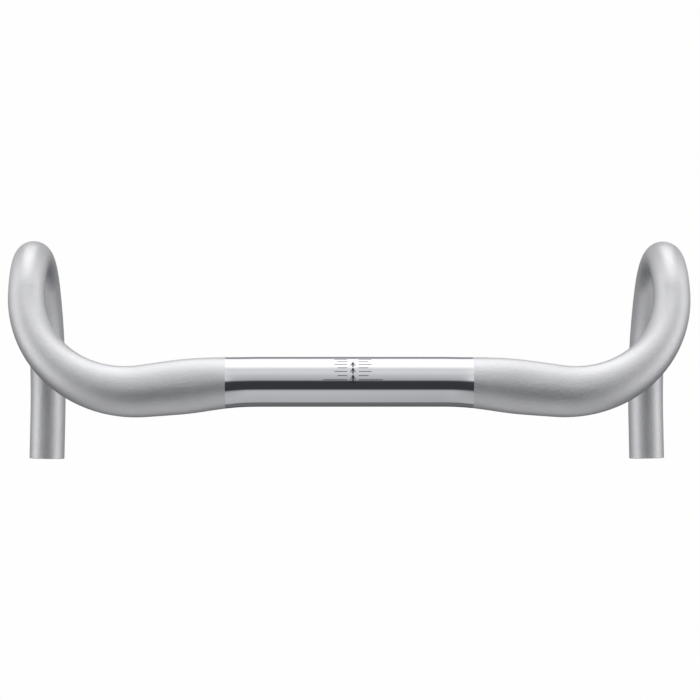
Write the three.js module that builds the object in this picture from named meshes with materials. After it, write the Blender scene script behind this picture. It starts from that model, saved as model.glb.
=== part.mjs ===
// Bicycle drop handlebar: one bare aluminium tube, bent into flattened tops, forward shoulders,
// compact hooks and level drops, with a polished stem-clamp zone and a printed centring scale.
//
// Millimetres. +X is the rider's right, +Y is forward, +Z is up, and the origin is the centre of
// the stem clamp. The tube is hollow from one bare end to the other. Each named zone of it is one
// mesh, and neighbouring zones meet face to face on a shared ring.

import * as THREE from 'three';

// Tube sections, from the clamp at the middle to the grips at the ends.
const CLAMP_RADIUS = 15.9; // 31.8 mm stem clamp
const GRIP_RADIUS = 11.9; // 23.8 mm lever and grip diameter
const CLAMP_WALL = 2;
const GRIP_WALL = 1.4;
const TOP_HALF_WIDTH = 17.8; // the flattened tops, fore and aft
const TOP_HALF_HEIGHT = 13;
const FLATTENING_STARTS = 65; // distances along the centreline from the middle of the bar
const FLATTENING_ENDS = 112;
const TAPER_STARTS = 87;
const TAPER_ENDS = 256;

// Centreline of one half, from the middle outwards.
const CLAMP_STRAIGHT = 57;
const SWEEP_RADIUS = 380;
const SWEEP_ANGLE = 6; // the tops sweep back
const TOP_STRAIGHT = 35.7;
const SHOULDER_RADIUS = 71; // from the tops round to the ramps
const RAMP_SLOPE = 24.5; // below level, pointing forward
const HOOK_RADIUS = 40; // the tight arc ahead of the ramps
const HOOK_PITCH = 147; // how far the tight arc has turned down from level, pointing forward
const HOOK_LEAN = 5; // the hooks lean inwards on the way down
const DROP = 128; // from the clamp's centre down to the drops' centreline
const TOE_OUT = 1.2; // the drops open towards the rider
const DROP_STRAIGHT = 29;

// The polished zone ends on two upright planes.
const POLISH_RIGHT = 77.9;
const POLISH_LEFT = 79.9;

// The printed scale on the front upper quarter of the clamp zone. Places round the tube are arc
// lengths from its top, positive towards the front.
const INK_GAP = 0.03;
const INK_THICKNESS = 0.05;
const SCALE_CENTRE_X = 1.2;
const TICK_WIDTH = 0.32;
const TICK_FIRST = 1.5;
const TICK_PITCH = 2.7;
const TICK_COUNT = 7;
const TICK_INNER_X = 3.6;
const LONG_TICK = 15.4;
const MEDIUM_TICK = 8.2;
const SHORT_TICK = 6.2;
const ARROW_COUNT = 3;
const ARROW_FIRST = 0.55;
const ARROW_PITCH = 4.9;
const ARROW_LENGTH = 4.4;
const ARROW_HEAD_LENGTH = 2.8;
const ARROW_HEAD_HALF = 1.75;
const ARROW_STEM_HALF = 0.42;
const BASE_BAR_HALF = 1.9;
const BASE_BAR_WIDTH = 0.5;
const FRONT_DOT_AT = 20.4;
const FRONT_DOT_SIZE = 1;

// Mesh fineness.
const SIDES = 32;
const INK_STEP = 0.9;

const rad = THREE.MathUtils.degToRad;

const satinAluminium = new THREE.MeshStandardMaterial({
  color: 0xc4c5c9, metalness: 1, roughness: 0.42,
});
const polishedAluminium = new THREE.MeshStandardMaterial({
  color: 0xd2d4d8, metalness: 1, roughness: 0.12,
});
const blackInk = new THREE.MeshStandardMaterial({
  color: 0x17181a, metalness: 0, roughness: 0.5,
});

// ---------------------------------------------------------------------------------------------
// Centreline

// A heading that has pitched down from straight ahead, in a plane leaning inwards on the right.
function pitchedHeading(pitch, lean) {
  const down = Math.sin(rad(pitch));
  return new THREE.Vector3(
    -Math.sin(rad(lean)) * down,
    Math.cos(rad(pitch)),
    -Math.cos(rad(lean)) * down,
  );
}

// Walks one side of the bar and remembers a station, with its own axes, at every step.
class Walk {
  constructor() {
    this.centre = new THREE.Vector3();
    this.along = new THREE.Vector3(1, 0, 0);
    this.across = new THREE.Vector3(0, 1, 0);
    this.distance = 0;
    this.stations = [];
    this.remember();
  }

  remember() {
    this.stations.push({
      centre: this.centre.clone(),
      along: this.along.clone(),
      across: this.across.clone(),
      distance: this.distance,
    });
  }

  straight(length, steps) {
    for (let step = 0; step < steps; step += 1) {
      this.centre.addScaledVector(this.along, length / steps);
      this.distance += length / steps;
      this.remember();
    }
    return this;
  }

  // A round bend that ends pointing along the given heading.
  bendTo(heading, radius, steps) {
    const axis = new THREE.Vector3().crossVectors(this.along, heading).normalize();
    const angle = this.along.angleTo(heading) / steps;
    const turn = new THREE.Quaternion().setFromAxisAngle(axis, angle);
    for (let step = 0; step < steps; step += 1) {
      const hub = new THREE.Vector3().crossVectors(axis, this.along);
      hub.multiplyScalar(radius).add(this.centre);
      this.centre.sub(hub).applyQuaternion(turn).add(hub);
      this.along.applyQuaternion(turn);
      this.across.applyQuaternion(turn);
      this.distance += radius * angle;
      this.remember();
    }
    return this;
  }

  // The number of the station reached so far, to name where one zone ends and the next begins.
  here() {
    return this.stations.length - 1;
  }
}

function walkRightHalf() {
  const walk = new Walk();
  const zoneEnd = {};
  const sweptBack = new THREE.Vector3(Math.cos(rad(SWEEP_ANGLE)), -Math.sin(rad(SWEEP_ANGLE)), 0);
  const rearward = new THREE.Vector3(Math.sin(rad(TOE_OUT)), -Math.cos(rad(TOE_OUT)), 0);
  walk.straight(CLAMP_STRAIGHT, 2);
  walk.bendTo(sweptBack, SWEEP_RADIUS, 5);
  walk.straight(TOP_STRAIGHT, 3);
  zoneEnd.top = walk.here();
  walk.bendTo(pitchedHeading(RAMP_SLOPE, 0), SHOULDER_RADIUS, 12);
  zoneEnd.shoulder = walk.here();
  walk.bendTo(pitchedHeading(HOOK_PITCH, HOOK_LEAN), HOOK_RADIUS, 13);
  zoneEnd.hook = walk.here();
  const stillToDrop = DROP + walk.centre.z;
  const lowerRadius = stillToDrop / (1 - Math.cos(rad(180 - HOOK_PITCH)));
  walk.bendTo(rearward, lowerRadius, 5);
  zoneEnd.lowerHook = walk.here();
  walk.straight(DROP_STRAIGHT, 1);
  zoneEnd.drop = walk.here();
  return { stations: walk.stations, zoneEnd };
}

// ---------------------------------------------------------------------------------------------
// Sections

// The tube's half width, half height and wall at a distance from the middle of the bar.
function section(distance) {
  const flat = THREE.MathUtils.smoothstep(distance, FLATTENING_STARTS, FLATTENING_ENDS);
  const taper = THREE.MathUtils.smoothstep(distance, TAPER_STARTS, TAPER_ENDS);
  const wide = THREE.MathUtils.lerp(CLAMP_RADIUS, TOP_HALF_WIDTH, flat);
  const high = THREE.MathUtils.lerp(CLAMP_RADIUS, TOP_HALF_HEIGHT, flat);
  return {
    halfWidth: THREE.MathUtils.lerp(wide, GRIP_RADIUS, taper),
    halfHeight: THREE.MathUtils.lerp(high, GRIP_RADIUS, taper),
    wall: THREE.MathUtils.lerp(CLAMP_WALL, GRIP_WALL, taper),
  };
}

// The outer and inner loops of the tube at one station.
function ringAt(station) {
  const { halfWidth, halfHeight, wall } = section(station.distance);
  const upward = new THREE.Vector3().crossVectors(station.along, station.across);
  const loop = (inset) => Array.from({ length: SIDES }, (_, side) => {
    const angle = (side / SIDES) * 2 * Math.PI;
    return station.centre.clone()
      .addScaledVector(station.across, (halfWidth - inset) * Math.cos(angle))
      .addScaledVector(upward, (halfHeight - inset) * Math.sin(angle));
  });
  return { outer: loop(0), inner: loop(wall) };
}

// The same ring, slid along the tube until it lies on an upright plane of constant x.
function ringOnPlane(station, x) {
  const onPlane = (point) => point.addScaledVector(station.along, (x - point.x) / station.along.x);
  const ring = ringAt(station);
  return { outer: ring.outer.map(onPlane), inner: ring.inner.map(onPlane) };
}

function mirrorRing(ring) {
  const flip = (point) => new THREE.Vector3(-point.x, point.y, point.z);
  return { outer: ring.outer.map(flip), inner: ring.inner.map(flip) };
}

// The station on the centreline whose centre has the given x, between two known stations.
function stationAtX(stations, x) {
  const next = stations.findIndex((station) => station.centre.x > x);
  const [a, b] = [stations[next - 1], stations[next]];
  const share = (x - a.centre.x) / (b.centre.x - a.centre.x);
  return {
    centre: a.centre.clone().lerp(b.centre, share),
    along: a.along.clone().lerp(b.along, share).normalize(),
    across: a.across.clone().lerp(b.across, share).normalize(),
    distance: THREE.MathUtils.lerp(a.distance, b.distance, share),
  };
}

// ---------------------------------------------------------------------------------------------
// Solids

// Joins matching loops of points with a band of triangles.
function band(triangles, from, to) {
  from.forEach((point, index) => {
    const next = (index + 1) % from.length;
    triangles.push(point, from[next], to[next], point, to[next], to[index]);
  });
}

function geometryFrom(triangles, insideOut) {
  const corners = triangles.flatMap((point) => point.toArray());
  if (insideOut) {
    for (let corner = 0; corner < corners.length; corner += 9) {
      const second = corners.slice(corner + 3, corner + 6);
      corners.splice(corner + 3, 3, ...corners.slice(corner + 6, corner + 9));
      corners.splice(corner + 6, 3, ...second);
    }
  }
  const geometry = new THREE.BufferGeometry();
  geometry.setAttribute('position', new THREE.Float32BufferAttribute(corners, 3));
  geometry.computeVertexNormals();
  return geometry;
}

// A hollow length of tube through a list of rings, open at both ends.
function tubeGeometry(rings, insideOut = false) {
  const triangles = [];
  const first = rings[0];
  const last = rings[rings.length - 1];
  for (let index = 0; index + 1 < rings.length; index += 1) {
    band(triangles, rings[index].outer, rings[index + 1].outer);
    band(triangles, rings[index + 1].inner, rings[index].inner);
  }
  band(triangles, first.inner, first.outer);
  band(triangles, last.outer, last.inner);
  return geometryFrom(triangles, insideOut);
}

// A thin patch of ink on the clamp zone. It is a row of four-cornered slices at increasing arc
// lengths round the tube, each with its own half width along the bar.
function inkGeometry(slices, centreX) {
  const loops = slices.map(({ arc, half }) => {
    const angle = arc / CLAMP_RADIUS;
    const corner = (x, radius) => new THREE.Vector3(
      centreX + x,
      radius * Math.sin(angle),
      radius * Math.cos(angle),
    );
    const low = CLAMP_RADIUS + INK_GAP;
    const high = low + INK_THICKNESS;
    return [corner(-half, low), corner(half, low), corner(half, high), corner(-half, high)];
  });
  const triangles = [];
  for (let index = 0; index + 1 < loops.length; index += 1) {
    band(triangles, loops[index + 1], loops[index]);
  }
  const [a, b, c, d] = loops[0];
  const [e, f, g, h] = loops[loops.length - 1];
  triangles.push(a, b, c, a, c, d, e, g, f, e, h, g);
  return geometryFrom(triangles, false);
}

// Slices between two arc lengths, close enough together to follow the tube.
function evenSlices(start, end, halfStart, halfEnd) {
  const count = Math.max(1, Math.ceil((end - start) / INK_STEP));
  return Array.from({ length: count + 1 }, (_, index) => ({
    arc: THREE.MathUtils.lerp(start, end, index / count),
    half: THREE.MathUtils.lerp(halfStart, halfEnd, index / count),
  }));
}

// ---------------------------------------------------------------------------------------------
// The bar

const bar = new THREE.Group();

function addMesh(name, geometry, material) {
  const mesh = new THREE.Mesh(geometry, material);
  mesh.name = name;
  bar.add(mesh);
}

function addTube() {
  const { stations, zoneEnd } = walkRightHalf();
  const ringsBetween = (from, to) => stations.slice(from, to + 1).map(ringAt);
  const polishStation = {
    right: stationAtX(stations, POLISH_RIGHT),
    left: stationAtX(stations, POLISH_LEFT),
  };
  const polishRing = {
    right: ringOnPlane(polishStation.right, POLISH_RIGHT),
    left: ringOnPlane(polishStation.left, POLISH_LEFT),
  };

  // Rings from the middle out to one edge of the polished zone.
  const polishedHalf = (side) => stations
    .filter((station) => station.distance < polishStation[side].distance - 1)
    .map(ringAt)
    .concat([polishRing[side]]);
  const leftToMiddle = polishedHalf('left').map(mirrorRing).reverse();
  const middleToRight = polishedHalf('right').slice(1);
  addMesh('clamp_zone', tubeGeometry(leftToMiddle.concat(middleToRight)), polishedAluminium);

  const topRings = (side) => [polishRing[side]].concat(
    stations
      .slice(0, zoneEnd.top + 1)
      .filter((station) => station.distance > polishStation[side].distance + 1)
      .map(ringAt),
  );
  const zones = {
    shoulder: ringsBetween(zoneEnd.top, zoneEnd.shoulder),
    hook: ringsBetween(zoneEnd.shoulder, zoneEnd.hook),
    lower_hook: ringsBetween(zoneEnd.hook, zoneEnd.lowerHook),
    drop: ringsBetween(zoneEnd.lowerHook, zoneEnd.drop),
  };
  for (const side of ['left', 'right']) {
    const sided = { top: topRings(side), ...zones };
    for (const [zone, rings] of Object.entries(sided)) {
      const placed = side === 'left' ? rings.map(mirrorRing) : rings;
      addMesh(`${side}_${zone}`, tubeGeometry(placed, side === 'left'), satinAluminium);
    }
  }
}

function addScale() {
  for (let row = 0; row < TICK_COUNT; row += 1) {
    const evenRow = row % 2 === 0;
    const length = row === 0 ? LONG_TICK : (evenRow ? MEDIUM_TICK : SHORT_TICK);
    const arc = TICK_FIRST + row * TICK_PITCH;
    const slices = evenSlices(arc - TICK_WIDTH / 2, arc + TICK_WIDTH / 2, length / 2, length / 2);
    for (const [side, direction] of [['left', -1], ['right', 1]]) {
      const centreX = SCALE_CENTRE_X + direction * (TICK_INNER_X + length / 2);
      addMesh(`${side}_tick_${row + 1}`, inkGeometry(slices, centreX), blackInk);
    }
  }
  for (let index = 0; index < ARROW_COUNT; index += 1) {
    const tail = ARROW_FIRST + index * ARROW_PITCH;
    const shoulder = tail + ARROW_LENGTH - ARROW_HEAD_LENGTH;
    const slices = evenSlices(tail, shoulder, ARROW_STEM_HALF, ARROW_STEM_HALF)
      .concat(evenSlices(shoulder + 0.05, tail + ARROW_LENGTH, ARROW_HEAD_HALF, 0.1));
    addMesh(`centre_arrow_${index + 1}`, inkGeometry(slices, SCALE_CENTRE_X), blackInk);
  }
  const baseBar = evenSlices(-BASE_BAR_WIDTH / 2, BASE_BAR_WIDTH / 2, BASE_BAR_HALF, BASE_BAR_HALF);
  addMesh('base_bar', inkGeometry(baseBar, SCALE_CENTRE_X), blackInk);
  const dot = evenSlices(
    FRONT_DOT_AT - FRONT_DOT_SIZE / 2,
    FRONT_DOT_AT + FRONT_DOT_SIZE / 2,
    FRONT_DOT_SIZE / 2,
    FRONT_DOT_SIZE / 2,
  );
  addMesh('front_dot', inkGeometry(dot, SCALE_CENTRE_X), blackInk);
}

addTube();
addScale();

export default bar;
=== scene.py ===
"""A bare aluminium drop handlebar, seen from straight above in soft studio light.

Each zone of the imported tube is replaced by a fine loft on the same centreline, with a bead-blasted
or polished skin, machined cuts and a raw bore, and each mark of the printed scale by a thin patch
of ink. Everything is in metres, in the part's own frame: +X rider's right, +Y forward, +Z up.
"""

import math

import bmesh
import bpy
import numpy as np
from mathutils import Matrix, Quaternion, Vector


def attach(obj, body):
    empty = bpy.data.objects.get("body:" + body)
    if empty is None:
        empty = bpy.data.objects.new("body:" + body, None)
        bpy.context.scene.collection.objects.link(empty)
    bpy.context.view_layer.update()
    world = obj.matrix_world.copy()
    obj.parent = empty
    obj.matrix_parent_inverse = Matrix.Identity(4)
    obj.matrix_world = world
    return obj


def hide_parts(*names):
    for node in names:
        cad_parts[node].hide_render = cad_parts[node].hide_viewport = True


MM = 0.001

# Tube sections, from the clamp at the middle to the grips at the ends.
CLAMP_RADIUS = 15.9 * MM
GRIP_RADIUS = 11.9 * MM
CLAMP_WALL = 2.0 * MM
GRIP_WALL = 1.4 * MM
TOP_HALF_WIDTH = 17.8 * MM
TOP_HALF_HEIGHT = 13.0 * MM
FLATTENING_STARTS = 65 * MM
FLATTENING_ENDS = 112 * MM
TAPER_STARTS = 87 * MM
TAPER_ENDS = 256 * MM

# Centreline of one half, from the middle outwards.
CLAMP_STRAIGHT = 57 * MM
SWEEP_RADIUS = 380 * MM
SWEEP_ANGLE = math.radians(6)
TOP_STRAIGHT = 35.7 * MM
SHOULDER_RADIUS = 71 * MM
RAMP_SLOPE = math.radians(24.5)
HOOK_RADIUS = 40 * MM
HOOK_PITCH = math.radians(147)
HOOK_LEAN = math.radians(5)
DROP = 128 * MM
TOE_OUT = math.radians(1.2)
DROP_STRAIGHT = 29 * MM

# The polished zone ends on two upright planes.
POLISH_EDGE = {"left": 79.9 * MM, "right": 77.9 * MM}

# The printed scale. Places round the tube are arc lengths from its top, positive to the front.
SCALE_CENTRE_X = 1.2 * MM
TICK_WIDTH = 0.42 * MM
TICK_FIRST = 1.5 * MM
TICK_PITCH = 2.7 * MM
TICK_COUNT = 7
TICK_INNER_X = 3.6 * MM
LONG_TICK = 15.4 * MM
MEDIUM_TICK = 8.2 * MM
SHORT_TICK = 6.2 * MM
ARROW_COUNT = 3
ARROW_FIRST = 0.55 * MM
ARROW_PITCH = 4.9 * MM
ARROW_LENGTH = 4.4 * MM
ARROW_HALF = 1.75 * MM
BASE_BAR_HALF = 1.9 * MM
BASE_BAR_WIDTH = 0.5 * MM
FRONT_DOT_AT = 20.4 * MM
FRONT_DOT_RADIUS = 0.5 * MM
INK_SINK = 0.01 * MM
INK_HEIGHT = 0.04 * MM

# The camera, over the clamp axis and a little to the rider's left.
CAMERA_HEIGHT = 1.7
CAMERA_X = -0.0300
CAMERA_Y = 0.0203
AIM_X = -0.00045
LENS_MM = 137.0
FLOOR_Z = -0.45
FLOOR_SIZE = 12.0

# Mesh fineness.
SIDES = 96
RING_STEP = 2.0 * MM
BEND_STEP = math.radians(3)
INK_STEP = 0.35 * MM
SLOPE_STEP = 0.5 * MM
EDGE_CLEARANCE = 0.7  # ring steps kept free on both sides of the polished zone's edge
ROUND_END_CORNERS = 6
DEBURR = 0.25 * MM

# Material slots of a tube zone.
SKIN, CUT, BORE = 0, 1, 2
TUBE_MAP = "tube"

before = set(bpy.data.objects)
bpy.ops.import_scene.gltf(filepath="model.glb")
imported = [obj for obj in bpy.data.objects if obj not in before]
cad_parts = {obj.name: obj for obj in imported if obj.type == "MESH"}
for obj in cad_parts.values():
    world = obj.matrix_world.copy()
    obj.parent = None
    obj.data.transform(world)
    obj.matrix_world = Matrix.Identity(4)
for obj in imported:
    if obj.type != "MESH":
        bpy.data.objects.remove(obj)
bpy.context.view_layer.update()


# ---------------------------------------------------------------------------------------------
# Centreline and loops


def pitched_heading(pitch, lean):
    """A heading that has pitched down from straight ahead, in a plane leaning inwards."""
    down = math.sin(pitch)
    return Vector((-math.sin(lean) * down, math.cos(pitch), -math.cos(lean) * down))


class Walk:
    """Walks one side of the bar and remembers a station, with its own axes, at every step."""

    def __init__(self):
        self.centre = Vector((0, 0, 0))
        self.along = Vector((1, 0, 0))
        self.across = Vector((0, 1, 0))
        self.distance = 0.0
        self.stations = []
        self.remember(Vector((0, 0, 0)))

    def remember(self, curvature):
        """curvature points from the centreline to the bend's hub and is 1 / radius long."""
        self.stations.append({
            "centre": np.array(self.centre),
            "along": np.array(self.along),
            "across": np.array(self.across),
            "distance": self.distance,
            "curvature": np.array(curvature),
        })

    def straight(self, length):
        steps = max(1, round(length / RING_STEP))
        for _ in range(steps):
            self.centre += self.along * (length / steps)
            self.distance += length / steps
            self.remember(Vector((0, 0, 0)))

    def bend_to(self, heading, radius):
        """A round bend that ends pointing along the given heading."""
        axis = self.along.cross(heading).normalized()
        whole = self.along.angle(heading)
        steps = round(max(whole / BEND_STEP, whole * radius / RING_STEP))
        turn = Quaternion(axis, whole / steps)
        for _ in range(steps):
            hub = self.centre + axis.cross(self.along) * radius
            self.centre = hub + turn @ (self.centre - hub)
            self.along = turn @ self.along
            self.across = turn @ self.across
            self.distance += radius * whole / steps
            self.remember((hub - self.centre) / radius**2)

    def here(self):
        return len(self.stations) - 1


def walk_right_half():
    """The stations of the right half, and the number of the last one in each zone."""
    walk = Walk()
    zone_end = {}
    walk.straight(CLAMP_STRAIGHT)
    walk.bend_to(Vector((math.cos(SWEEP_ANGLE), -math.sin(SWEEP_ANGLE), 0)), SWEEP_RADIUS)
    walk.straight(TOP_STRAIGHT)
    zone_end["top"] = walk.here()
    walk.bend_to(pitched_heading(RAMP_SLOPE, 0), SHOULDER_RADIUS)
    zone_end["shoulder"] = walk.here()
    walk.bend_to(pitched_heading(HOOK_PITCH, HOOK_LEAN), HOOK_RADIUS)
    zone_end["hook"] = walk.here()
    lower_radius = (DROP + walk.centre.z) / (1 - math.cos(math.pi - HOOK_PITCH))
    walk.bend_to(Vector((math.sin(TOE_OUT), -math.cos(TOE_OUT), 0)), lower_radius)
    zone_end["lower_hook"] = walk.here()
    walk.straight(DROP_STRAIGHT)
    zone_end["drop"] = walk.here()
    return walk.stations, zone_end


def smoothstep(value, start, end):
    share = min(max((value - start) / (end - start), 0.0), 1.0)
    return share * share * (3 - 2 * share)


def mix(start, end, share):
    return start + (end - start) * share


def unit(vectors):
    return vectors / np.linalg.norm(vectors, axis=-1, keepdims=True)


def section(distance):
    """The tube's half width, half height and wall at a distance from the middle of the bar."""
    flat = smoothstep(distance, FLATTENING_STARTS, FLATTENING_ENDS)
    taper = smoothstep(distance, TAPER_STARTS, TAPER_ENDS)
    wide = mix(CLAMP_RADIUS, TOP_HALF_WIDTH, flat)
    high = mix(CLAMP_RADIUS, TOP_HALF_HEIGHT, flat)
    return np.array((
        mix(wide, GRIP_RADIUS, taper),
        mix(high, GRIP_RADIUS, taper),
        mix(CLAMP_WALL, GRIP_WALL, taper),
    ))


def loop_at(station, walls_in=0.0, inset=0.0, ahead=0.0):
    """A loop of points round the tube, with their outward normals.

    The loop lies a number of walls and an inset in from the skin, and ahead along the tube.
    """
    distance = station["distance"]
    half_width, half_height, wall = section(distance)
    rise = section(distance + SLOPE_STEP) - section(distance - SLOPE_STEP)
    widening, heightening = rise[:2] / (2 * SLOPE_STEP)
    inwards = walls_in * wall + inset
    turn = np.linspace(0, 2 * math.pi, SIDES, endpoint=False)
    cosine = np.cos(turn)[:, None]
    sine = np.sin(turn)[:, None]
    along, across = station["along"], station["across"]
    upward = np.cross(along, across)
    offset = (half_width - inwards) * cosine * across + (half_height - inwards) * sine * upward
    round_tube = (inwards - half_width) * sine * across + (half_height - inwards) * cosine * upward
    stretch = 1 - offset @ station["curvature"]
    down_tube = stretch[:, None] * along + widening * cosine * across + heightening * sine * upward
    return {
        "points": station["centre"] + ahead * along + offset,
        "normals": unit(np.cross(round_tube, down_tube)),
        "distance": distance,
        "radii": np.linalg.norm(offset, axis=1),
    }


def slid_to_plane(loop, along, x):
    """A loop slid along the tube until it lies on an upright plane of constant x."""
    gap = (x - loop["points"][:, 0]) / along[0]
    return {**loop, "points": loop["points"] + gap[:, None] * along}


def station_at_x(stations, x):
    """The station on the centreline whose centre has the given x."""
    later = next(i for i, station in enumerate(stations) if station["centre"][0] > x)
    a, b = stations[later - 1], stations[later]
    share = (x - a["centre"][0]) / (b["centre"][0] - a["centre"][0])
    return {key: mix(a[key], b[key], share) for key in a}


def mirrored(loop):
    flip = np.array((-1, 1, 1))
    return {**loop, "points": loop["points"] * flip, "normals": loop["normals"] * flip}


# ---------------------------------------------------------------------------------------------
# Meshes


def new_piece(name, mesh, materials):
    for material in materials:
        mesh.materials.append(material)
    piece = bpy.data.objects.new(name, mesh)
    bpy.context.scene.collection.objects.link(piece)
    return piece


def ring_solid(name, loops, bands, materials):
    """A closed ring-shaped solid through a cycle of loops.

    bands holds, for each loop and the next, the number of the material between them. Skin and
    bore are shaded from the loops' own normals, so that neighbouring zones join without a seam.
    """
    side = np.arange(SIDES)
    following = (side + 1) % SIDES
    faces, normals, places, slots = [], [], [], []
    for index, slot in enumerate(bands):
        other = (index + 1) % len(loops)
        corners = ((index, side, 0), (index, following, 1), (other, following, 1), (other, side, 0))
        sign = -1 if slot == BORE else 1
        faces.append(np.stack([loop * SIDES + at for loop, at, _ in corners], axis=1))
        normals.append(np.stack([sign * loops[loop]["normals"][at] for loop, at, _ in corners], axis=1))
        lengths = [loops[loop]["radii"][at] if slot == CUT else np.full(SIDES, loops[loop]["distance"])
                   for loop, at, _ in corners]
        rounds = [(side + step) / SIDES * 2 * math.pi * CLAMP_RADIUS for _, _, step in corners]
        places.append(np.stack([np.stack(lengths, 1), np.stack(rounds, 1)], axis=2))
        slots.append(np.full(SIDES, slot))
    points = np.concatenate([loop["points"] for loop in loops])
    faces, normals = np.concatenate(faces), np.concatenate(normals)
    places, slots = np.concatenate(places), np.concatenate(slots)
    facing = np.cross(points[faces[:, 2]] - points[faces[:, 0]], points[faces[:, 3]] - points[faces[:, 1]])
    shaded = slots != CUT
    if (facing[shaded] * normals[shaded, 0]).sum() < 0:
        faces, normals, places, facing = faces[:, ::-1], normals[:, ::-1], places[:, ::-1], -facing
    normals[~shaded] = unit(facing[~shaded])[:, None, :]

    mesh = bpy.data.meshes.new(name)
    mesh.from_pydata(points.tolist(), [], faces.tolist())
    mesh.polygons.foreach_set("material_index", slots.astype(np.int32))
    mesh.polygons.foreach_set("use_smooth", np.ones(len(faces), dtype=bool))
    layer = mesh.uv_layers.new(name=TUBE_MAP)
    layer.data.foreach_set("uv", places.reshape(-1).astype(np.float32))
    mesh.normals_split_custom_set(normals.reshape(-1, 3).tolist())
    return new_piece(name, mesh, materials)


def tube_zone(name, skin, bore, materials, cut_edges=()):
    """One zone of the tube: its skin, its bore and its two ends.

    skin and bore hold loops in order along the bar. cut_edges are the loops at the edges of the
    flat cut that ends a bare zone.
    """
    bands = [SKIN] * (len(skin) - 1) + [CUT] * (1 + len(cut_edges)) + [BORE] * (len(bore) - 1) + [CUT]
    return ring_solid(name, skin + list(cut_edges) + bore[::-1], bands, materials)


def build_tube(materials):
    """Every zone of the bar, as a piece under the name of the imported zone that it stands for."""
    stations, zone_end = walk_right_half()
    edge = {side: station_at_x(stations, x) for side, x in POLISH_EDGE.items()}

    def loops(chosen, walls_in):
        return [loop_at(station, walls_in) for station in chosen]

    def edge_loop(side, walls_in):
        return slid_to_plane(loop_at(edge[side], walls_in), edge[side]["along"], POLISH_EDGE[side])

    def beyond_edge(station, side):
        return (station["distance"] - edge[side]["distance"]) / RING_STEP

    def polished_half(side, walls_in):
        inner = [station for station in stations if beyond_edge(station, side) < -EDGE_CLEARANCE]
        return loops(inner, walls_in) + [edge_loop(side, walls_in)]

    def top(side, walls_in):
        outer = [s for s in stations[:zone_end["top"] + 1] if beyond_edge(s, side) > EDGE_CLEARANCE]
        return [edge_loop(side, walls_in)] + loops(outer, walls_in)

    def polished_zone(walls_in):
        left = [mirrored(loop) for loop in polished_half("left", walls_in)]
        return left[::-1] + polished_half("right", walls_in)[1:]

    polished = [materials[key] for key in ("polished", "machined", "drawn")]
    satin = [materials[key] for key in ("satin", "machined", "drawn")]
    pieces = {"clamp_zone": tube_zone("polished_clamp_zone", polished_zone(0), polished_zone(1), polished)}
    last = stations[-1]
    cut_edges = [loop_at(last, inset=DEBURR), loop_at(last, 1, -DEBURR)]
    starts = {"shoulder": "top", "hook": "shoulder", "lower_hook": "hook", "drop": "lower_hook"}
    for side in POLISH_EDGE:
        zones = {"top": (top(side, 0), top(side, 1), ())}
        for zone, before in starts.items():
            chosen = stations[zone_end[before]:zone_end[zone] + 1]
            zones[zone] = (loops(chosen, 0), loops(chosen, 1), ())
        skin, bore, _ = zones["drop"]
        skin[-1] = loop_at(last, ahead=-DEBURR)
        bore[-1] = loop_at(last, 1, ahead=-DEBURR)
        zones["drop"] = (skin, bore, cut_edges)
        for zone, parts in zones.items():
            if side == "left":
                parts = [[mirrored(loop) for loop in part] for part in parts]
            pieces[f"{side}_{zone}"] = tube_zone(f"satin_{side}_{zone}", parts[0], parts[1], satin, parts[2])
    return pieces


def ink_piece(name, outline, material):
    """A thin patch of ink on the clamp zone, from an outline of (x, arc length round the tube)."""
    bm = bmesh.new()
    bm.faces.new([bm.verts.new((x, arc, 0)) for x, arc in outline])
    arcs = [arc for _, arc in outline]
    low, high = min(arcs), max(arcs)
    for cut in range(1, math.ceil((high - low) / INK_STEP)):
        everything = bm.verts[:] + bm.edges[:] + bm.faces[:]
        at = Vector((0, low + cut * INK_STEP, 0))
        bmesh.ops.bisect_plane(bm, geom=everything, plane_co=at, plane_no=(0, 1, 0))
    raised = bmesh.ops.extrude_face_region(bm, geom=bm.faces[:])["geom"]
    for vert in (part for part in raised if isinstance(part, bmesh.types.BMVert)):
        vert.co.z = INK_HEIGHT + INK_SINK
    for vert in bm.verts:
        x, arc, height = vert.co
        radius = CLAMP_RADIUS - INK_SINK + height
        angle = arc / CLAMP_RADIUS
        vert.co = (x, radius * math.sin(angle), radius * math.cos(angle))
    bmesh.ops.recalc_face_normals(bm, faces=bm.faces[:])
    mesh = bpy.data.meshes.new(name)
    bm.to_mesh(mesh)
    bm.free()
    return new_piece(name, mesh, [material])


def bar_outline(centre_x, length, arc, width):
    """A bar with round ends, lying along the tube."""
    half, radius, corners = length / 2 - width / 2, width / 2, ROUND_END_CORNERS
    outline = []
    for end, start in ((1, -0.5), (-1, 0.5)):
        for corner in range(corners + 1):
            angle = math.pi * (start + corner / corners)
            outline.append((centre_x + end * half + radius * math.cos(angle), arc + radius * math.sin(angle)))
    return outline


def arrow_outline(centre_x, tail):
    """An arrow that points to the front, with swept barbs reaching back almost to its tail."""
    tip = tail + ARROW_LENGTH
    right = [
        (0.28, 0.0), (0.28, 0.42), (0.75, 0.25), (1.0, 0.12), (1.0, 0.26), (0.32, 0.66), (0.55, 0.6),
        (0.55, 0.7), (0.0, 1.0),
    ]
    right = [(x * ARROW_HALF, tail + share * ARROW_LENGTH) for x, share in right]
    left = [(-x, arc) for x, arc in reversed(right[:-1])]
    return [(centre_x + x, arc) for x, arc in right + left]


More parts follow.
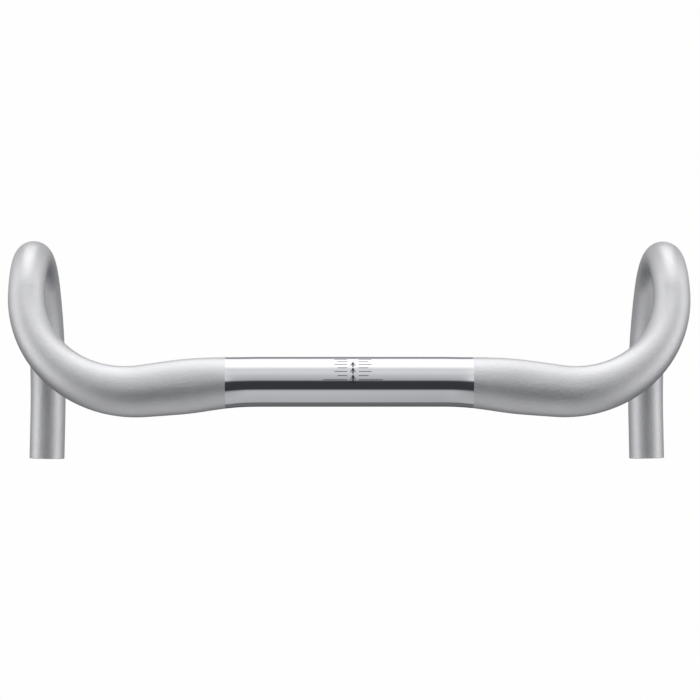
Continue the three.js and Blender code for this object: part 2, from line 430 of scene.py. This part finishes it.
def build_scale(ink):
    """Every mark of the printed scale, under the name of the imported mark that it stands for."""
    pieces = {}
    for row in range(TICK_COUNT):
        length = LONG_TICK if row == 0 else (SHORT_TICK, MEDIUM_TICK)[row % 2 == 0]
        arc = TICK_FIRST + row * TICK_PITCH
        for side, direction in (("left", -1), ("right", 1)):
            middle = SCALE_CENTRE_X + direction * (TICK_INNER_X + length / 2)
            name = f"{side}_tick_{row + 1}"
            pieces[name] = ink_piece("ink_" + name, bar_outline(middle, length, arc, TICK_WIDTH), ink)
    for index in range(ARROW_COUNT):
        name = f"centre_arrow_{index + 1}"
        outline = arrow_outline(SCALE_CENTRE_X, ARROW_FIRST + index * ARROW_PITCH)
        pieces[name] = ink_piece("ink_" + name, outline, ink)
    base = bar_outline(SCALE_CENTRE_X, 2 * BASE_BAR_HALF, 0, BASE_BAR_WIDTH)
    pieces["base_bar"] = ink_piece("ink_base_bar", base, ink)
    dot = bar_outline(SCALE_CENTRE_X, 2.2 * FRONT_DOT_RADIUS, FRONT_DOT_AT, 2 * FRONT_DOT_RADIUS)
    pieces["front_dot"] = ink_piece("ink_front_dot", dot, ink)
    return pieces


# ---------------------------------------------------------------------------------------------
# Materials


# Sockets of a Mix node that mixes colours: its factor and two colours, and its result.
MIX_COLOURS = (0, 6, 7)
MIXED_COLOUR = 2


class Nodes:
    """Builds one material's nodes in a few short lines."""

    def __init__(self, name):
        self.material = bpy.data.materials.new(name)
        self.material.use_nodes = True
        self.tree = self.material.node_tree
        self.surface = self.tree.nodes["Principled BSDF"]

    def add(self, kind, inputs=(), **settings):
        node = self.tree.nodes.new("ShaderNode" + kind)
        for key, value in settings.items():
            setattr(node, key, value)
        for socket, value in dict(inputs).items():
            self.put(node, socket, value)
        return node

    def put(self, node, socket, value):
        if isinstance(value, bpy.types.NodeSocket):
            self.tree.links.new(value, node.inputs[socket])
        else:
            node.inputs[socket].default_value = value

    def set(self, **inputs):
        for socket, value in inputs.items():
            self.put(self.surface, socket.replace("_", " "), value)

    def place(self, scale=(1, 1, 1)):
        """Millimetres along each axis, stretched."""
        coordinates = self.add("TexCoord")
        scaled = [axis / MM for axis in scale]
        mapping = self.add("Mapping", {"Vector": coordinates.outputs["Object"], "Scale": scaled})
        return mapping.outputs["Vector"]

    def noise(self, vector, size, detail=2.0, roughness=0.5):
        inputs = {"Vector": vector, "Scale": 1 / size, "Detail": detail, "Roughness": roughness}
        return self.add("TexNoise", inputs).outputs["Fac"]

    def between(self, fac, low, high):
        """fac, from about 0.25 to 0.75 as noise gives it, stretched between two values."""
        inputs = {"Value": fac, "From Min": 0.25, "From Max": 0.75, "To Min": low, "To Max": high}
        return self.add("MapRange", inputs).outputs["Result"]

    def blend(self, fac, low, high):
        """fac, as noise gives it, turned into a colour between two."""
        node = self.add("Mix", data_type="RGBA")
        for socket, value in zip(MIX_COLOURS, (self.between(fac, 0.0, 1.0), low, high)):
            self.put(node, socket, value)
        return node.outputs[MIXED_COLOUR]

    def bump(self, height, depth):
        inputs = {"Height": height, "Distance": depth, "Strength": 1.0}
        return self.add("Bump", inputs).outputs["Normal"]


def satin_aluminium():
    """Bead-blasted tube: a dimpled grain under a cloudy, slightly uneven matt sheen.

    The relief is deeper than real blasting leaves, so that it shows from the camera's distance.
    """
    nodes = Nodes("satin_aluminium")
    place = nodes.place()
    grain = nodes.noise(place, 1.8, detail=4, roughness=0.65)
    cloud = nodes.noise(place, 14, detail=3)
    nodes.set(
        Base_Color=nodes.blend(cloud, (0.885, 0.885, 0.895, 1), (0.93, 0.93, 0.94, 1)),
        Metallic=1.0,
        Roughness=nodes.between(grain, 0.39, 0.49),
        Normal=nodes.bump(grain, 0.18 * MM),
    )
    return nodes.material


def polished_aluminium():
    """The clamp zone: a bright polish with faint hairlines round the tube."""
    nodes = Nodes("polished_aluminium")
    hairlines = nodes.noise(nodes.place((30, 0.4, 0.4)), 3, detail=4)
    nodes.set(
        Base_Color=nodes.blend(hairlines, (0.875, 0.88, 0.9, 1), (0.89, 0.895, 0.915, 1)),
        Metallic=1.0,
        Roughness=nodes.between(hairlines, 0.07, 0.11),
        Normal=nodes.bump(hairlines, 0.0005 * MM),
    )
    return nodes.material


def machined_aluminium():
    """The square cuts at the bar's ends."""
    nodes = Nodes("machined_aluminium")
    grain = nodes.noise(nodes.place(), 0.3, detail=2)
    nodes.set(
        Base_Color=nodes.blend(grain, (0.77, 0.775, 0.785, 1), (0.83, 0.835, 0.845, 1)),
        Metallic=1.0,
        Roughness=nodes.between(grain, 0.25, 0.35),
        Normal=nodes.bump(grain, 0.004 * MM),
    )
    return nodes.material


def drawn_aluminium():
    """The bore, dull as it left the drawing die."""
    nodes = Nodes("drawn_aluminium")
    grain = nodes.noise(nodes.place(), 0.6, detail=3)
    nodes.set(
        Base_Color=nodes.blend(grain, (0.5, 0.505, 0.515, 1), (0.6, 0.605, 0.615, 1)),
        Metallic=1.0,
        Roughness=nodes.between(grain, 0.4, 0.6),
        Normal=nodes.bump(grain, 0.01 * MM),
    )
    return nodes.material


def black_ink():
    """Glossy printed ink, slightly speckled."""
    nodes = Nodes("black_ink")
    speckle = nodes.noise(nodes.place(), 0.15, detail=2)
    nodes.set(
        Base_Color=nodes.blend(speckle, (0.008, 0.008, 0.01, 1), (0.02, 0.02, 0.022, 1)),
        Roughness=nodes.between(speckle, 0.18, 0.28),
        IOR=1.9,
        Normal=nodes.bump(speckle, 0.002 * MM),
    )
    return nodes.material


# ---------------------------------------------------------------------------------------------
# Stage


def add_camera():
    """Looks straight down, turned slightly about the fore-and-aft axis to face the bar."""
    data = bpy.data.cameras.new("overhead")
    data.lens = LENS_MM
    data.clip_start = 0.01
    data.clip_end = 50
    camera = bpy.data.objects.new("overhead", data)
    camera.location = (CAMERA_X, CAMERA_Y, CAMERA_HEIGHT)
    camera.rotation_euler = (0, math.atan((CAMERA_X - AIM_X) / CAMERA_HEIGHT), 0)
    bpy.context.scene.collection.objects.link(camera)
    bpy.context.scene.camera = camera


def add_floor():
    """A pale floor for the camera only: it neither lights the bar nor shows in it."""
    mesh = bpy.data.meshes.new("floor")
    half = FLOOR_SIZE / 2
    corners = [(-half, -half), (half, -half), (half, half), (-half, half)]
    mesh.from_pydata([(x, y, FLOOR_Z) for x, y in corners], [], [(0, 1, 2, 3)])
    material = bpy.data.materials.new("pale_floor")
    material.use_nodes = True
    tree = material.node_tree
    tree.nodes.remove(tree.nodes["Principled BSDF"])
    glow = tree.nodes.new("ShaderNodeEmission")
    glow.inputs["Strength"].default_value = BACKDROP
    # Seen from below, the floor lets the bar show.
    side = tree.nodes.new("ShaderNodeNewGeometry").outputs["Backfacing"]
    clear = tree.nodes.new("ShaderNodeBsdfTransparent")
    mix = tree.nodes.new("ShaderNodeMixShader")
    for index, source in enumerate((side, glow.outputs[0], clear.outputs[0])):
        tree.links.new(source, mix.inputs[index])
    tree.links.new(mix.outputs[0], tree.nodes["Material Output"].inputs["Surface"])
    floor = new_piece("floor", mesh, [material])
    floor.visible_diffuse = False
    floor.visible_glossy = False


# The studio. Panels of light run from the rider's left to right, past the bar's middle. Each spans
# two angles round that axis, measured from straight up and positive to the front, and reaches a
# share of the way to the sides.
PANELS = (
    # from, to, edge, reach, fade, brightness at from, at to
    (70, 135, 15, 0.30, 0.25, 1.05, 1.05),     # white wall in front
    (40, 70, 10, 0.25, 0.15, 0.60, 0.60),      # ceiling near the wall
    (5, 40, 10, 0.30, 0.25, 0.30, 0.55),       # ceiling near the camera
    (-45, -35, 5, 0.15, 0.60, 0.55, 0.35),     # wall behind, its dim top
    (-110, -45, 5, 0.15, 0.60, 0.45, 0.55),    # wall behind
    (-150, -110, 10, 0.30, 0.20, 0.10, 0.10),  # floor behind
    (140, 170, 10, 0.30, 0.20, 0.25, 0.25),    # floor in front
)
# Round soft lamps, in twins to the left and right of the bar: azimuth from the front, elevation,
# spread in degrees, and brightness.
LAMPS = (
    (25, 25, 15, 0.45),    # in front, high
    (45, 0, 20, 0.65),     # in front, level
    (60, -45, 20, 0.40),   # in front, low
    (90, 15, 20, 0.80),    # beside
    (135, 25, 20, 0.30),   # behind, to the side
    (180, -10, 20, 0.25),  # behind
    (0, 80, 15, 0.30),     # overhead
)
# The lamps fade out towards the bar's middle plane, at this sideways share and over twice this softness.
LAMP_GAP = 0.20
LAMP_GAP_SOFTNESS = 0.06
# A dark stretch of ceiling round the camera: from, to, edge, reach, fade, and how much it takes away.
CAMERA_SHADE = (-35, 5, 10, 0.35, 0.20)
CAMERA_SHADE_DEPTH = 0.95
LIGHT_TINT = (0.99, 0.99, 1.0, 1)
GLOW_TINT = (0.9, 0.98, 1.12, 1)
ROOM_GLOW = 0.04
EXPOSURE = 1.1
BACKDROP = 0.99


class Sum:
    """Adds up numbers in a shader."""

    def __init__(self, tree):
        self.tree = tree

    def math(self, operation, *inputs):
        node = self.tree.nodes.new("ShaderNodeMath")
        node.operation = operation
        for index, value in enumerate(inputs):
            if isinstance(value, bpy.types.NodeSocket):
                self.tree.links.new(value, node.inputs[index])
            else:
                node.inputs[index].default_value = value
        return node.outputs[0]

    def ramp(self, value, start, end, low=0.0, high=1.0):
        node = self.tree.nodes.new("ShaderNodeMapRange")
        node.interpolation_type = "SMOOTHSTEP"
        self.tree.links.new(value, node.inputs["Value"])
        for socket, number in (("From Min", start), ("From Max", end), ("To Min", low), ("To Max", high)):
            node.inputs[socket].default_value = number
        return node.outputs[0]

    def line(self, value, start, end, low, high):
        slope = (high - low) / (end - start)
        clamped = self.math("MINIMUM", self.math("MAXIMUM", value, start), end)
        return self.math("MULTIPLY_ADD", clamped, slope, low - start * slope)

    def band(self, value, start, end, edge):
        rise = self.ramp(value, start - edge / 2, start + edge / 2)
        fall = self.ramp(value, end - edge / 2, end + edge / 2, 1.0, 0.0)
        return self.math("MULTIPLY", rise, fall)


def lamp_light(build, direction, aside):
    """The light of every lamp and its twin, seen in a direction."""
    light = 0.0
    twins = [(side * azimuth, *lamp) for side in (-1, 1) for azimuth, *lamp in LAMPS]
    for azimuth, elevation, spread, brightness in twins:
        azimuth, elevation, spread = (math.radians(angle) for angle in (azimuth, elevation, spread))
        level = math.cos(elevation)
        toward = build.tree.nodes.new("ShaderNodeVectorMath")
        toward.operation = "DOT_PRODUCT"
        build.tree.links.new(direction, toward.inputs[0])
        toward.inputs[1].default_value = (
            math.sin(azimuth) * level, math.cos(azimuth) * level, math.sin(elevation))
        power = build.math("MULTIPLY_ADD", toward.outputs["Value"], 1 / spread**2, -1 / spread**2)
        light = build.math("MULTIPLY_ADD", build.math("EXPONENT", power), brightness, light)
    gap = build.ramp(aside, LAMP_GAP - LAMP_GAP_SOFTNESS, LAMP_GAP + LAMP_GAP_SOFTNESS)
    return build.math("MULTIPLY", light, gap)


def panel_shape(build, tilt, aside, start, end, edge, reach, fade):
    """1 inside a panel and 0 outside, with soft edges."""
    return build.math("MULTIPLY", build.band(tilt, start, end, edge),
                      build.ramp(aside, reach - fade / 2, reach + fade / 2, 1.0, 0.0))


def studio_light(build, direction):
    """The strength of all lamps and panels together, seen in a direction."""
    split = build.tree.nodes.new("ShaderNodeSeparateXYZ")
    build.tree.links.new(direction, split.inputs[0])
    x, y, z = split.outputs
    tilt = build.math("DEGREES", build.math("ARCTAN2", y, z))
    aside = build.math("ABSOLUTE", x)
    light = lamp_light(build, direction, aside)
    for start, end, edge, reach, fade, at_start, at_end in PANELS:
        shape = panel_shape(build, tilt, aside, start, end, edge, reach, fade)
        light = build.math("MULTIPLY_ADD", shape, build.line(tilt, start, end, at_start, at_end), light)
    shade = panel_shape(build, tilt, aside, *CAMERA_SHADE)
    return build.math("MULTIPLY", light, build.math("MULTIPLY_ADD", shade, -CAMERA_SHADE_DEPTH, 1.0))


def add_world():
    """The studio for the bar's reflections, and a plain backdrop for the camera."""
    world = bpy.data.worlds.new("studio")
    bpy.context.scene.world = world
    world.use_nodes = True
    tree = world.node_tree
    build = Sum(tree)
    light = studio_light(build, tree.nodes.new("ShaderNodeTexCoord").outputs["Generated"])
    seen = tree.nodes.new("ShaderNodeLightPath").outputs["Is Camera Ray"]
    hidden = build.math("MULTIPLY", light, build.math("MULTIPLY_ADD", seen, -EXPOSURE, EXPOSURE))
    studio = tree.nodes["Background"]
    studio.inputs["Color"].default_value = LIGHT_TINT
    tree.links.new(build.math("MULTIPLY_ADD", seen, BACKDROP, hidden), studio.inputs["Strength"])
    glow = tree.nodes.new("ShaderNodeBackground")
    glow.inputs["Color"].default_value = GLOW_TINT
    tree.links.new(build.math("MULTIPLY_ADD", seen, -ROOM_GLOW, ROOM_GLOW), glow.inputs["Strength"])
    total = tree.nodes.new("ShaderNodeAddShader")
    for index, source in enumerate((studio, glow)):
        tree.links.new(source.outputs[0], total.inputs[index])
    tree.links.new(total.outputs[0], tree.nodes["World Output"].inputs["Surface"])


add_camera()
add_floor()
add_world()
bpy.context.scene.view_settings.view_transform = "Standard"
materials = {
    "satin": satin_aluminium(),
    "polished": polished_aluminium(),
    "machined": machined_aluminium(),
    "drawn": drawn_aluminium(),
}
ink = black_ink()
for node, piece in build_tube(materials).items():
    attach(piece, "root")
    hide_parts(node)
for node, piece in build_scale(ink).items():
    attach(piece, "root")
    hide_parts(node)
